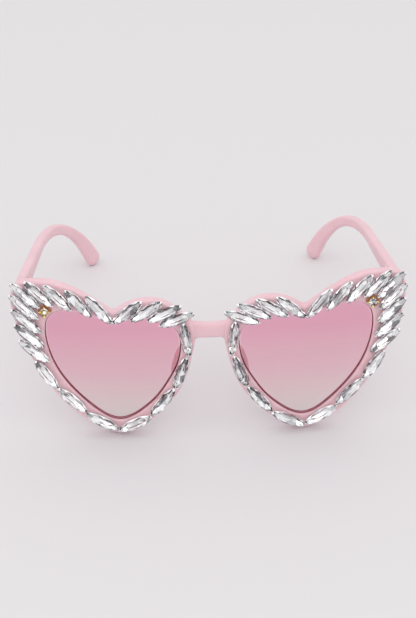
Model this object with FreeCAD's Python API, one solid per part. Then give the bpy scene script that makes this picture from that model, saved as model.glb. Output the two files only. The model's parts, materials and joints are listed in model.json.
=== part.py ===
import FreeCAD, Part
import math
import os

from FreeCAD import Matrix, Placement, Rotation, Vector

# Heart shaped sunglasses with navette stones glued round both rims, in millimetres and degrees.
# The front faces -Y, the temples run back along +Y and Z is up. Pieces are first made as the
# glasses are worn, with the front upright and its apex on the Z axis, for the +X side alone, and
# mirrored. Then the whole leans back until it rests on the heart points and the temple tips.

# Lenses
LENS_WIDTH = 53.6
LENS_HEIGHT = 47.9
LENS_SPACING = 22.8
LENS_THICKNESS = 2.0
LENS_RECESS = 1.2
GROOVE_DEPTH = 0.7
LENS_PLAY = 0.05

# Front moulding: how far the heart reaches past the lens on each side, and its bent plate
RIM_NOSE = 5.7
RIM_FOOT = 6.1
WING_REACH = 12.6
BROW_RISE = 12.6
FRONT_RADIUS = 600.0
FRONT_THICKNESS = 4.5
RIM_MARGIN = 0.8

# Bridge between the hearts
BRIDGE_HEIGHT = 6.2
BRIDGE_DIP = 0.9
BRIDGE_SETBACK = 0.8
BRIDGE_SEAT = 2.8
BRIDGE_CORNER = 1.8
BRIDGE_SINK = 0.3
BRIDGE_UP_SHARE = 0.665

# Nose pads moulded on the back of the rims
NOSE_PAD_LENGTH = 18.0
NOSE_PAD_REACH = 8.0
NOSE_PAD_THICKNESS = 4.4
NOSE_PAD_ROOT = 0.6
NOSE_PAD_FLARE = 14.0
NOSE_PAD_SHARE = 0.66
NOSE_PAD_STATION = 21

# Temples: a straight run, then a drop and an inward turn behind the ear
TEMPLE_LENGTH = 139.5
TEMPLE_THICKNESS = 4.0
TEMPLE_SET_IN = 1.3
TEMPLE_ROOT_HEIGHT = 7.6
TEMPLE_WAIST_HEIGHT = 4.8
TEMPLE_TIP_HEIGHT = 7.4
TEMPLE_EDGE_RADIUS = 1.4
TEMPLE_PITCH = 5.1
TEMPLE_DROP = 54.3
TEMPLE_TOE_IN = 1.5
TEMPLE_TURN = 40.0
TEMPLE_WAIST_SHARE = 0.55
TEMPLE_DROP_START_SHARE = 0.61
TEMPLE_DROP_END_SHARE = 0.99
TEMPLE_TURN_START_SHARE = 0.44
TIP_SWELL_SHARE = 0.77
TIP_ROUND = 3.6
TIP_ROUND_SHARES = (0.0, 0.5, 0.8, 0.94)
BUTT_GAP = 0.2
TEMPLE_SECTIONS = 18
PATH_STEPS = 60

# Hinges: a leaf sunk in the front, a leaf sunk in the temple and a screw
HINGE_DROP = 5.9
KNUCKLE_RADIUS = 1.3
KNUCKLE_LENGTH = 1.85
KNUCKLE_GAP = 0.06
KNUCKLE_CLEAR = 0.25
KNUCKLE_STANDOFF = 0.6
LEAF_THICKNESS = 1.0
FRONT_LEAF_LENGTH = 6.0
TEMPLE_LEAF_LENGTH = 9.0
TEMPLE_LEAF_HEIGHT = 3.6
LEAF_PLAY = 0.02
SCREW_RADIUS = 0.6
SCREW_FIT = 0.05
SCREW_HEAD_RADIUS = 1.15
SCREW_HEAD_HEIGHT = 0.6
SCREW_SLOT_WIDTH = 0.3
SCREW_SLOT_DEPTH = 0.3

# Navette stones and the glue under them
STONE_LENGTH = 14.7
STONE_WIDTH = 4.0
STONE_KEEL = 1.3
STONE_GIRDLE = 0.3
STONE_CROWN = 1.3
STONE_OUTLINE_SHARES = ((1.0, 0.22), (0.84, 0.56), (0.5, 0.89), (0.0, 1.0))
TABLE_LENGTH_SHARE = 0.64
TABLE_WIDTH_SHARE = 0.5
KEEL_LENGTH_SHARE = 0.55
KEEL_WIDTH_SHARE = 0.3
GLUE_FILM = 0.15
GLUE_RISE = 0.7
GLUE_LENGTH = 9.6
GLUE_WIDTH = 2.4
TIP_GAP = 0.08
FLANK_GAP = 0.04
DIP_GAP = 0.35
DIP_OUTSET = 0.8

# Rows of stones. A row runs along the rim from one station to another, at shares of the rim's
# width, from a start before or after the first station. Stones in the nose and cheek rows lie
# end to end, to a stop past or short of the last station. Those in the wing and brow rows lie side
# by side, slanted by the two angles at the row's ends, and meet with their tips at the dip of the
# heart, a little outwards of its middle.
NOSE_ROW = (16, 24)
NOSE_ROW_SHARES = (0.44, 0.46, 0.44, 0.36)
NOSE_ROW_START = -1.0
NOSE_ROW_PAST = 4.2
CHEEK_ROW = (16, 10)
CHEEK_ROW_SHARES = (0.41, 0.38, 0.35, 0.38, 0.52, 0.68, 0.9)
CHEEK_ROW_START = 0.4
CHEEK_ROW_PAST = -2.4
WING_ROW = (10, 3)
WING_ROW_SHARES = (0.6, 0.55, 0.59, 0.69, 0.66, 0.52, 0.48, 0.47)
WING_ROW_START = -0.8
WING_ROW_TURNS = (38.0, 50.0)
BROW_ROW = (25, 27)
BROW_ROW_SHARES = (0.66, 0.5, 0.39)
BROW_ROW_START = 1.45
BROW_ROW_TURNS = (-20.0, -38.0)
DIP_STATION = 0
DIP_SHARE = 0.08
ROW_SAMPLES = 241

# Round crystal in a gold setting with four prongs, at the upper outer corner of each lens
STUD_STATION = 7
STUD_SHARE = 0.7
STUD_CLEAR = 0.3
CRYSTAL_RADIUS = 1.6
CRYSTAL_KEEL = 1.0
CRYSTAL_GIRDLE = 0.15
CRYSTAL_CROWN = 0.5
CRYSTAL_TABLE_SHARE = 0.58
CRYSTAL_POINT_SHARE = 0.3
CRYSTAL_SIDES = 8
SETTING_WALL = 0.2
SETTING_FLOOR = 0.3
SETTING_PLAY = 0.03
PRONG_RADIUS = 0.35
PRONG_RISE = 0.35
PRONG_COUNT = 4
STUD_GLUE_WIDTH = 0.35
STUD_GLUE_RISE = 0.3

# All cuts run past the faces they leave by this much
OVERRUN = 5.0

# Stations round the rim, from the dip between the lobes outwards, down to the point and back up
# the nose side. Each is a place on the lens opening, across and up the lens's own box, and a
# place on the outer edge, across and up the heart's box.
RIM_SHARES = (
    (0.483, 0.896, 0.442, 0.806),
    (0.526, 0.906, 0.476, 0.823),
    (0.590, 0.935, 0.527, 0.860),
    (0.683, 0.977, 0.595, 0.908),
    (0.776, 1.000, 0.679, 0.958),
    (0.879, 1.000, 0.783, 0.994),
    (0.950, 0.967, 0.894, 0.997),
    (0.981, 0.925, 0.972, 0.976),
    (0.996, 0.871, 1.000, 0.916),
    (1.000, 0.770, 0.992, 0.751),
    (0.978, 0.624, 0.944, 0.590),
    (0.933, 0.484, 0.883, 0.440),
    (0.858, 0.342, 0.805, 0.294),
    (0.757, 0.207, 0.718, 0.180),
    (0.638, 0.084, 0.602, 0.075),
    (0.539, 0.015, 0.499, 0.018),
    (0.474, 0.000, 0.433, 0.000),
    (0.409, 0.015, 0.369, 0.020),
    (0.299, 0.090, 0.259, 0.089),
    (0.187, 0.209, 0.160, 0.189),
    (0.099, 0.353, 0.082, 0.308),
    (0.037, 0.482, 0.039, 0.426),
    (0.007, 0.599, 0.017, 0.523),
    (0.000, 0.708, 0.001, 0.616),
    (0.017, 0.795, 0.007, 0.700),
    (0.067, 0.858, 0.056, 0.770),
    (0.151, 0.914, 0.138, 0.845),
    (0.254, 0.942, 0.255, 0.878),
    (0.366, 0.925, 0.359, 0.853),
    (0.437, 0.904, 0.410, 0.823),
)

# Sizes and places that follow from those above
LENS_INNER = LENS_SPACING / 2
HEART_INNER = LENS_INNER - RIM_NOSE
HEART_WIDTH = RIM_NOSE + LENS_WIDTH + WING_REACH
HEART_HEIGHT = RIM_FOOT + LENS_HEIGHT + BROW_RISE
HALF_WIDTH = HEART_INNER + HEART_WIDTH
TEMPLE_OUTER = HALF_WIDTH - TEMPLE_SET_IN
TEMPLE_INNER = TEMPLE_OUTER - TEMPLE_THICKNESS
HINGE_LENGTH = 3 * KNUCKLE_LENGTH + 2 * KNUCKLE_GAP
STONE_HEIGHT = STONE_KEEL + STONE_GIRDLE + STONE_CROWN
PRONG_RING = CRYSTAL_RADIUS + SETTING_PLAY + PRONG_RADIUS
STUD_RADIUS = PRONG_RING + PRONG_RADIUS

ORIGIN = Vector(0, 0, 0)
ACROSS = Vector(1, 0, 0)
BACKWARD = Vector(0, 1, 0)
UP = Vector(0, 0, 1)


def surface_y(x, depth):
    """Y of the bent surface that lies depth behind the front face, at x."""
    return FRONT_RADIUS - math.sqrt((FRONT_RADIUS - depth) ** 2 - x ** 2)


PRISM_DEPTH = surface_y(HALF_WIDTH, FRONT_THICKNESS) + OVERRUN
PIVOT_X = TEMPLE_INNER - KNUCKLE_RADIUS - KNUCKLE_CLEAR
PIVOT_Y = surface_y(PIVOT_X, FRONT_THICKNESS) + KNUCKLE_RADIUS + KNUCKLE_STANDOFF
PIVOT_Z = HEART_HEIGHT - HINGE_DROP
LENS_EDGE = [
    Vector(LENS_INNER + across * LENS_WIDTH, 0, RIM_FOOT + up * LENS_HEIGHT)
    for across, up, _, _ in RIM_SHARES
]
HEART_EDGE = [
    Vector(HEART_INNER + across * HEART_WIDTH, 0, up * HEART_HEIGHT)
    for _, _, across, up in RIM_SHARES
]


def rim_point(station, share):
    """The place at a share of the way from the lens opening to the outer edge."""
    return LENS_EDGE[station] + (HEART_EDGE[station] - LENS_EDGE[station]) * share


def grown(edge, amount):
    """An edge's points moved away from the lens by amount."""
    outwards = [(far - near).normalize() for near, far in zip(LENS_EDGE, HEART_EDGE)]
    return [point + way * amount for point, way in zip(edge, outwards)]


def prism(points):
    """A smooth closed outline, extruded from in front of the frame to behind it."""
    curve = Part.BSplineCurve()
    curve.interpolate(Points=points, PeriodicFlag=True)
    face = Part.Face(Part.Wire(curve.toShape()))
    solid = face.extrude(BACKWARD * (PRISM_DEPTH + OVERRUN))
    solid.translate(BACKWARD * -OVERRUN)
    return solid


def behind(depth):
    """Everything behind the bent surface that lies depth behind the front face."""
    foot = Vector(0, FRONT_RADIUS, -OVERRUN)
    return Part.makeCylinder(FRONT_RADIUS - depth, HEART_HEIGHT + 2 * OVERRUN, foot)


def layer(solid, start, end):
    """The part of a prism between two depths behind the front face."""
    return solid.common(behind(start)).cut(behind(end))


def mirrored(solid):
    return solid.mirror(ORIGIN, ACROSS)


def box(low, high):
    size = high - low
    return Part.makeBox(size.x, size.y, size.z, low)


def heart():
    """One rim: the heart outline cut from the bent plate, with the lens opening and its groove."""
    rim = layer(prism(HEART_EDGE), 0, FRONT_THICKNESS).cut(prism(LENS_EDGE))
    groove_start = LENS_RECESS - LENS_PLAY
    groove_end = LENS_RECESS + LENS_THICKNESS + LENS_PLAY
    return rim.cut(layer(prism(grown(LENS_EDGE, GROOVE_DEPTH)), groove_start, groove_end))


def lens():
    edge = grown(LENS_EDGE, GROOVE_DEPTH - LENS_PLAY)
    return layer(prism(edge), LENS_RECESS, LENS_RECESS + LENS_THICKNESS)


def bridge():
    """The bar between the hearts, set back from their faces, with flared corners over the nose."""
    reach = HEART_INNER + BRIDGE_SEAT
    inner = HEART_INNER + BRIDGE_SINK
    middle = BRIDGE_UP_SHARE * HEART_HEIGHT
    top = middle + BRIDGE_HEIGHT / 2
    bottom = middle - BRIDGE_HEIGHT / 2
    foot = bottom - 2 * BRIDGE_CORNER
    bend = BRIDGE_CORNER * (1 - math.sqrt(0.5))

    def half(side):
        corners = [
            Vector(side * reach, 0, top + BRIDGE_DIP),
            Vector(side * reach, 0, foot),
            Vector(side * inner, 0, foot),
            Vector(side * inner, 0, bottom - BRIDGE_CORNER),
        ]
        edges = [Part.LineSegment(a, b).toShape() for a, b in zip(corners, corners[1:])]
        knee = Vector(side * (inner - bend), 0, bottom - bend)
        landing = Vector(side * (inner - BRIDGE_CORNER), 0, bottom)
        edges.append(Part.Arc(corners[-1], knee, landing).toShape())
        return edges, corners[0], landing

    right, right_top, right_landing = half(1)
    left, left_top, left_landing = half(-1)
    crest = Part.Arc(left_top, Vector(0, 0, top), right_top).toShape()
    sill = Part.LineSegment(right_landing, left_landing).toShape()
    wire = Part.Wire(Part.__sortEdges__([crest, *right, sill, *left]))
    bar = Part.Face(wire).extrude(BACKWARD * (PRISM_DEPTH + OVERRUN))
    bar.translate(BACKWARD * -OVERRUN)
    return layer(bar, BRIDGE_SETBACK, FRONT_THICKNESS)


def nose_pad():
    """A pad that swells from the back of the rim and flares outwards along the nose."""
    scale = Matrix()
    scale.scale(NOSE_PAD_THICKNESS / 2, NOSE_PAD_REACH, NOSE_PAD_LENGTH / 2)
    pad = Part.makeSphere(1).transformGeometry(scale)
    below = rim_point(NOSE_PAD_STATION - 1, NOSE_PAD_SHARE)
    above = rim_point(NOSE_PAD_STATION + 1, NOSE_PAD_SHARE)
    slope = math.degrees(math.atan2(above.x - below.x, above.z - below.z))
    turned = Rotation(BACKWARD, slope) * Rotation(UP, -NOSE_PAD_FLARE)
    place = rim_point(NOSE_PAD_STATION, 1 - NOSE_PAD_SHARE)
    place.y = surface_y(place.x, FRONT_THICKNESS)
    pad.Placement = Placement(place, turned)
    return pad.common(behind(FRONT_THICKNESS - NOSE_PAD_ROOT))


def knuckle(index, radius):
    """One of the three knuckles on the hinge's axis, counted from the bottom."""
    foot = PIVOT_Z - HINGE_LENGTH / 2 + index * (KNUCKLE_LENGTH + KNUCKLE_GAP)
    return Part.makeCylinder(radius, KNUCKLE_LENGTH, Vector(PIVOT_X, PIVOT_Y, foot))


def front_leaf_plate(play, rise):
    """The plate sunk in the back of the front, along its bent face, grown by play and by rise."""
    slope = math.degrees(math.asin(PIVOT_X / (FRONT_RADIUS - FRONT_THICKNESS)))
    low = Vector(-FRONT_LEAF_LENGTH - play, -LEAF_THICKNESS - play, -HINGE_LENGTH / 2 - play)
    high = Vector(KNUCKLE_RADIUS + play, rise, HINGE_LENGTH / 2 + play)
    plate = box(low, high)
    seat = Vector(PIVOT_X, surface_y(PIVOT_X, FRONT_THICKNESS), PIVOT_Z)
    plate.Placement = Placement(seat, Rotation(UP, slope))
    return plate


def front_leaf():
    """The leaf on the front: plate, two webs and the outer knuckles, bored for the screw."""
    leaf = front_leaf_plate(0, 0)
    web_start = surface_y(PIVOT_X, FRONT_THICKNESS) - LEAF_THICKNESS / 2
    for index in (0, 2):
        barrel = knuckle(index, KNUCKLE_RADIUS)
        low = Vector(PIVOT_X - KNUCKLE_RADIUS, web_start, barrel.BoundBox.ZMin)
        high = Vector(PIVOT_X + KNUCKLE_RADIUS, PIVOT_Y, barrel.BoundBox.ZMax)
        leaf = leaf.fuse([barrel, box(low, high)])
    return leaf.cut(screw_bore()).removeSplitter()


def screw_bore():
    foot = Vector(PIVOT_X, PIVOT_Y, PIVOT_Z - HINGE_LENGTH / 2 - OVERRUN)
    return Part.makeCylinder(SCREW_RADIUS + SCREW_FIT, HINGE_LENGTH + 2 * OVERRUN, foot)


def temple_leaf_plate(play, rise):
    """The plate sunk in the inner face of the temple, grown by play and, out of the face, by rise."""
    foot = PIVOT_Z - TEMPLE_LEAF_HEIGHT / 2
    low = Vector(TEMPLE_INNER - rise, PIVOT_Y - KNUCKLE_RADIUS, foot)
    high = Vector(
        TEMPLE_INNER + LEAF_THICKNESS,
        PIVOT_Y + TEMPLE_LEAF_LENGTH,
        foot + TEMPLE_LEAF_HEIGHT,
    )
    spare = Vector(play, play, play)
    return box(low - spare, high + spare)


def temple_leaf():
    """The leaf on the temple: a plate in its inner face with the middle knuckle on a web."""
    barrel = knuckle(1, KNUCKLE_RADIUS)
    low = Vector(PIVOT_X, PIVOT_Y - KNUCKLE_RADIUS, barrel.BoundBox.ZMin)
    high = Vector(TEMPLE_INNER + LEAF_THICKNESS / 2, PIVOT_Y + KNUCKLE_RADIUS, barrel.BoundBox.ZMax)
    leaf = temple_leaf_plate(0, 0).fuse([barrel, box(low, high)])
    return leaf.cut(screw_bore()).removeSplitter()


def hinge_screw():
    """A slotted screw down through the three knuckles, its head on the top one."""
    foot = Vector(PIVOT_X, PIVOT_Y, PIVOT_Z - HINGE_LENGTH / 2)
    crown = foot + UP * HINGE_LENGTH
    shank = Part.makeCylinder(SCREW_RADIUS, HINGE_LENGTH, foot)
    head = Part.makeCylinder(SCREW_HEAD_RADIUS, SCREW_HEAD_HEIGHT, crown)
    half_slot = Vector(SCREW_HEAD_RADIUS, SCREW_SLOT_WIDTH / 2, 0)
    slot_floor = crown + UP * (SCREW_HEAD_HEIGHT - SCREW_SLOT_DEPTH)
    slot = box(slot_floor - half_slot, slot_floor + half_slot + UP * OVERRUN)
    return shank.fuse(head).cut(slot).removeSplitter()


def eased(share):
    """A smooth ramp from 0 to 1."""
    held = min(max(share, 0), 1)
    return held * held * (3 - 2 * held)


def temple_heading(along):
    """Unit vectors along, outwards from and up from the temple's middle line."""
    drop_run = TEMPLE_DROP_END_SHARE - TEMPLE_DROP_START_SHARE
    share = along / TEMPLE_LENGTH
    drop = TEMPLE_DROP * eased((share - TEMPLE_DROP_START_SHARE) / drop_run)
    turn_run = 1 - TEMPLE_TURN_START_SHARE
    turn = TEMPLE_TURN * eased((share - TEMPLE_TURN_START_SHARE) / turn_run)
    dip = math.radians(TEMPLE_PITCH + drop)
    yaw = math.radians(TEMPLE_TOE_IN + turn)
    ahead = Vector(-math.sin(yaw) * math.cos(dip), math.cos(yaw) * math.cos(dip), -math.sin(dip))
    outwards = Vector(math.cos(yaw), math.sin(yaw), 0)
    return ahead, outwards, outwards.cross(ahead)


def temple_point(along):
    """A point on the temple's middle line, found by stepping along its heading."""
    middle = TEMPLE_INNER + TEMPLE_THICKNESS / 2
    point = Vector(middle, surface_y(TEMPLE_INNER, FRONT_THICKNESS) - TEMPLE_EDGE_RADIUS, PIVOT_Z)
    step = along / PATH_STEPS
    for index in range(PATH_STEPS):
        point = point + temple_heading((index + 0.5) * step)[0] * step
    return point


def temple_section(along, scale):
    """A rounded rectangle across the temple, shrunk by scale where the tip closes."""
    share = along / TEMPLE_LENGTH
    slim = (TEMPLE_WAIST_HEIGHT - TEMPLE_ROOT_HEIGHT) * eased(share / TEMPLE_WAIST_SHARE)
    swell = (TEMPLE_TIP_HEIGHT - TEMPLE_WAIST_HEIGHT) * eased(
        (share - TIP_SWELL_SHARE) / (1 - TIP_SWELL_SHARE)
    )
    half_height = (TEMPLE_ROOT_HEIGHT + slim + swell) * scale / 2
    half_width = TEMPLE_THICKNESS * scale / 2
    radius = TEMPLE_EDGE_RADIUS * scale
    _, outwards, upwards = temple_heading(along)
    centre = temple_point(along)

    def place(across, up):
        return centre + outwards * across + upwards * up

    edges = []
    corners = ((1, 1), (-1, 1), (-1, -1), (1, -1))
    ends = []
    for across, up in corners:
        hub = ((half_width - radius) * across, (half_height - radius) * up)
        first = place(hub[0] + radius * across, hub[1])
        last = place(hub[0], hub[1] + radius * up)
        knee = place(hub[0] + radius * across * math.sqrt(0.5), hub[1] + radius * up * math.sqrt(0.5))
        if across * up < 0:
            first, last = last, first
        ends.append((first, knee, last))
    for index, (first, knee, last) in enumerate(ends):
        edges.append(Part.Arc(first, knee, last).toShape())
        edges.append(Part.LineSegment(last, ends[(index + 1) % len(ends)][0]).toShape())
    return Part.Wire(edges)


def temple():
    """The side arm: sections lofted along its line, butted to the front, pocketed for the leaf."""
    tip_start = TEMPLE_LENGTH - TIP_ROUND
    sections = [
        temple_section(tip_start * index / TEMPLE_SECTIONS, 1) for index in range(TEMPLE_SECTIONS)
    ]
    for share in TIP_ROUND_SHARES:
        sections.append(temple_section(tip_start + TIP_ROUND * share, math.sqrt(1 - share ** 2)))
    arm = Part.makeLoft(sections, True, False)
    pocket = temple_leaf_plate(LEAF_PLAY, OVERRUN)
    return arm.common(behind_all(FRONT_THICKNESS + BUTT_GAP)).cut(pocket)


def behind_all(depth):
    """Like behind, but tall enough for the whole temple."""
    height = HEART_HEIGHT + 2 * TEMPLE_LENGTH
    return Part.makeCylinder(FRONT_RADIUS - depth, height, Vector(0, FRONT_RADIUS, -TEMPLE_LENGTH))


def row_points(stations, shares):
    """The rim places that a row of stones passes, with its shares spread evenly along it."""
    first, last = stations
    count = abs(last - first)
    way = 1 if last > first else -1
    points = []
    for index in range(count + 1):
        spread = (len(shares) - 1) * index / count
        before = min(int(spread), len(shares) - 2)
        share = shares[before] + (shares[before + 1] - shares[before]) * (spread - before)
        points.append(rim_point(first + way * index, share))
    return points


def row_line(points):
    curve = Part.BSplineCurve()
    curve.interpolate(points)
    return curve.toShape()


def slanted(turn):
    """The direction of a stone's length on the flat outline."""
    return Vector(math.cos(math.radians(turn)), 0, math.sin(math.radians(turn)))


def end_to_end(points, start, past):
    """Centres and turns of stones that follow each other tip to tip."""
    line = row_line(points)
    pitch = STONE_LENGTH + TIP_GAP
    count = int((line.Length + past - start) / pitch)
    places = []
    for index in range(count):
        middle = start + (index + 0.5) * pitch
        reach = min(pitch / 2, middle, line.Length - middle)
        centre, back, front = [
            line.valueAt(line.getParameterByLength(middle + offset)) for offset in (0, -reach, reach)
        ]
        way = front - back
        places.append((centre, math.degrees(math.atan2(way.z, way.x))))
    return places


def side_by_side(points, turns, start, way_in):
    """Centres and turns of slanted stones, spread evenly by the distance between their flanks.

    The last stone points its inner tip at the dip, from the side that way_in gives.
    """
    dip_tip = rim_point(DIP_STATION, DIP_SHARE) + ACROSS * (DIP_OUTSET + way_in * DIP_GAP)
    last = dip_tip + slanted(turns[1]) * (way_in * STONE_LENGTH / 2)
    first = points[0] + (points[1] - points[0]).normalize() * start
    samples = row_line([first, *points[1:], last]).discretize(Number=ROW_SAMPLES)
    slants = [turns[0] + (turns[1] - turns[0]) * i / (ROW_SAMPLES - 1) for i in range(ROW_SAMPLES)]
    travelled = [0.0]
    for here, following, slant in zip(samples, samples[1:], slants):
        travelled.append(travelled[-1] + (following - here).cross(slanted(slant)).Length)
    count = int(travelled[-1] / (STONE_WIDTH + FLANK_GAP)) + 1
    places = []
    for index in range(count):
        wanted = travelled[-1] * index / (count - 1)
        nearest = min(range(ROW_SAMPLES), key=lambda i: abs(travelled[i] - wanted))
        places.append((samples[nearest], slants[nearest]))
    return places


def stud_place(wing):
    """Just past the inner tip of the wing stone nearest the upper outer corner."""
    corner = rim_point(STUD_STATION, STUD_SHARE)
    centre, turn = min(wing, key=lambda stone: stone[0].distanceToPoint(corner))
    return centre - slanted(turn) * (STONE_LENGTH / 2 + STUD_CLEAR + STUD_RADIUS)


def on_front(point, turn, lift):
    """A placement on the front face, with Z out of the face and X turned along it."""
    out = Vector(point.x, surface_y(point.x, 0) - FRONT_RADIUS, 0).normalize()
    level = UP.cross(out) * -1
    if level.x < 0:
        level = level * -1
    along = level * math.cos(math.radians(turn)) + UP * math.sin(math.radians(turn))
    seat = Vector(point.x, surface_y(point.x, 0), point.z) + out * lift
    return Placement(seat, Rotation(along, out.cross(along), out, "ZXY"))


def faceted(rings):
    """A closed solid of flat facets through rings of points, from the lowest ring to the highest."""
    faces = [Part.Face(Part.makePolygon([*ring, ring[0]])) for ring in (rings[0], rings[-1])]
    for lower, upper in zip(rings, rings[1:]):
        for index in range(len(lower)):
            after = (index + 1) % len(lower)
            for corners in (
                (lower[index], lower[after], upper[index]),
                (lower[after], upper[after], upper[index]),
            ):
                faces.append(Part.Face(Part.makePolygon([*corners, corners[0]])))
    solid = Part.Solid(Part.Shell(faces))
    if solid.Volume < 0:
        solid.reverse()
    return solid


def navette_ring(length, width, height):
    """The pointed oval of a navette, with blunt tips."""
    half = [(length / 2 * along, width / 2 * across) for along, across in STONE_OUTLINE_SHARES]
    upper = half + [(-x, y) for x, y in reversed(half[:-1])]
    loop = upper + [(-x, -y) for x, y in upper]
    return [Vector(x, y, height) for x, y in loop]


def navette():
    """A pointed oval stone: keel, girdle and table."""
    table_length = STONE_LENGTH * TABLE_LENGTH_SHARE
    table_width = STONE_WIDTH * TABLE_WIDTH_SHARE
    return faceted(
        [
            navette_ring(STONE_LENGTH * KEEL_LENGTH_SHARE, STONE_WIDTH * KEEL_WIDTH_SHARE, 0),
            navette_ring(STONE_LENGTH, STONE_WIDTH, STONE_KEEL),
            navette_ring(STONE_LENGTH, STONE_WIDTH, STONE_KEEL + STONE_GIRDLE),
            navette_ring(table_length, table_width, STONE_HEIGHT),
        ]
    )


def rim_band():
    """The face of the rim, clear of its edges, where glue can lie."""
    outer = prism(grown(HEART_EDGE, -RIM_MARGIN))
    return outer.cut(prism(grown(LENS_EDGE, RIM_MARGIN))).cut(behind(0))


def glue_bed(place, stone, band):
    """The glue between a stone's keel and the rim."""
    low = navette_ring(GLUE_LENGTH, GLUE_WIDTH, -GLUE_FILM - GLUE_RISE)
    bed = Part.Face(Part.makePolygon([*low, low[0]])).extrude(UP * (2 * GLUE_RISE + GLUE_FILM))
    bed.Placement = place
    return bed.common(band).cut(stone)


def crystal_ring(radius, height):
    steps = [2 * math.pi * index / CRYSTAL_SIDES for index in range(CRYSTAL_SIDES)]
    return [Vector(radius * math.cos(angle), radius * math.sin(angle), height) for angle in steps]


def stud(place):
    """The round crystal, its gold cup with prongs, and the ring of glue round the cup."""
    seat = SETTING_FLOOR + SETTING_PLAY
    girdle = seat + CRYSTAL_KEEL
    crystal = faceted(
        [
            crystal_ring(CRYSTAL_RADIUS * CRYSTAL_POINT_SHARE, seat),
            crystal_ring(CRYSTAL_RADIUS, girdle),
            crystal_ring(CRYSTAL_RADIUS, girdle + CRYSTAL_GIRDLE),
            crystal_ring(CRYSTAL_RADIUS * CRYSTAL_TABLE_SHARE, girdle + CRYSTAL_GIRDLE + CRYSTAL_CROWN),
        ]
    )
    cup_radius = CRYSTAL_RADIUS + SETTING_PLAY + SETTING_WALL
    cup = Part.makeCylinder(cup_radius, girdle)
    point_radius = CRYSTAL_RADIUS * CRYSTAL_POINT_SHARE + SETTING_PLAY
    seat_cone = Part.makeCone(
        point_radius, CRYSTAL_RADIUS + SETTING_PLAY, CRYSTAL_KEEL, Vector(0, 0, SETTING_FLOOR)
    )
    seat_rim = Vector(0, 0, SETTING_FLOOR + CRYSTAL_KEEL)
    rest = Part.makeCylinder(CRYSTAL_RADIUS + SETTING_PLAY, OVERRUN, seat_rim)
    prong_height = girdle + CRYSTAL_GIRDLE + PRONG_RISE
    prongs = []
    for index in range(PRONG_COUNT):
        angle = 2 * math.pi * index / PRONG_COUNT
        foot = Vector(PRONG_RING * math.cos(angle), PRONG_RING * math.sin(angle), 0)
        prongs.append(Part.makeCylinder(PRONG_RADIUS, prong_height, foot))
    setting = cup.fuse(prongs).cut(seat_cone).cut(rest).removeSplitter()
    glue = Part.makeCylinder(STUD_RADIUS + STUD_GLUE_WIDTH, STUD_GLUE_RISE + OVERRUN)
    glue.translate(UP * -OVERRUN)
    for solid in (crystal, setting, glue):
        solid.Placement = place * solid.Placement
    return crystal, setting, glue


def side_pieces():
    """All the pieces of the +X side but the rim, by name."""
    pieces = {
        "lens": lens(),
        "temple": temple(),
        "front_hinge_leaf": front_leaf(),
        "temple_hinge_leaf": temple_leaf(),
        "hinge_screw": hinge_screw(),
    }
    nose = row_points(NOSE_ROW, NOSE_ROW_SHARES)
    cheek = row_points(CHEEK_ROW, CHEEK_ROW_SHARES)
    wing = row_points(WING_ROW, WING_ROW_SHARES)
    brow = row_points(BROW_ROW, BROW_ROW_SHARES)
    rows = {
        "nose_navette": end_to_end(nose, NOSE_ROW_START, NOSE_ROW_PAST),
        "cheek_navette": end_to_end(cheek, CHEEK_ROW_START, CHEEK_ROW_PAST),
        "wing_navette": side_by_side(wing, WING_ROW_TURNS, WING_ROW_START, 1),
        "brow_navette": side_by_side(brow, BROW_ROW_TURNS, BROW_ROW_START, -1),
    }
    band = rim_band()
    beds = []
    for name, places in rows.items():
        for number, (point, turn) in enumerate(places, 1):
            place = on_front(point, turn, GLUE_FILM)
            stone = navette()
            stone.Placement = place
            pieces[f"{name}_{number}"] = stone
            beds += glue_bed(place, stone, band).Solids
    stud_point = stud_place(rows["wing_navette"])
    crystal, setting, stud_glue = stud(on_front(stud_point, 0, SETTING_PLAY))
    pieces["stud_crystal"] = crystal
    pieces["stud_setting"] = setting
    beds += stud_glue.common(band).cut(setting).Solids
    pieces["stone_glue"] = Part.makeCompound(beds)
    return pieces


def front_frame():
    """The whole moulding: two hearts, the bridge, the nose pads and the pockets for the leaves."""
    half = heart().fuse(nose_pad()).cut(front_leaf_plate(LEAF_PLAY, OVERRUN))
    return half.fuse([mirrored(half), bridge()]).removeSplitter()


def rest_height(points, lean):
    """The lowest of some points when the glasses lean back by lean."""
    return min(point.z * math.cos(lean) - point.y * math.sin(lean) for point in points)


def rest_lean(front, arm):
    """The lean, in radians, at which the heart points and the temple tips lie equally low."""
    fineness = TIP_ROUND / 100
    front_points = front.tessellate(fineness)[0]
    arm_points = arm.tessellate(fineness)[0]
    upright, leaning = 0.0, math.pi / 6
    for _ in range(50):
        lean = (upright + leaning) / 2
        if rest_height(front_points, lean) < rest_height(arm_points, lean):
            upright = lean
        else:
            leaning = lean
    return lean


def main():
    os.makedirs("parts", exist_ok=True)
    pieces = {"front_frame": front_frame()}
    for name, solid in side_pieces().items():
        pieces[f"right_{name}"] = solid
        pieces[f"left_{name}"] = mirrored(solid)
    lean = math.degrees(rest_lean(pieces["front_frame"], pieces["right_temple"]))
    for solid in pieces.values():
        solid.rotate(ORIGIN, ACROSS, -lean)
    whole = Part.makeCompound(list(pieces.values())).BoundBox
    to_origin = Vector(0, -whole.Center.y, -whole.ZMin)
    for name, solid in pieces.items():
        solid.translate(to_origin)
        solid.exportStep(f"parts/{name}.step")
    turned = Rotation(ACROSS, -lean)
    pivot = turned.multVec(Vector(PIVOT_X, PIVOT_Y, PIVOT_Z)) + to_origin
    print("lean", lean, "pivot", pivot, "axis", turned.multVec(UP))


main()
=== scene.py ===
import json
import math

import bpy
import numpy as np
from mathutils import Matrix


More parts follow.
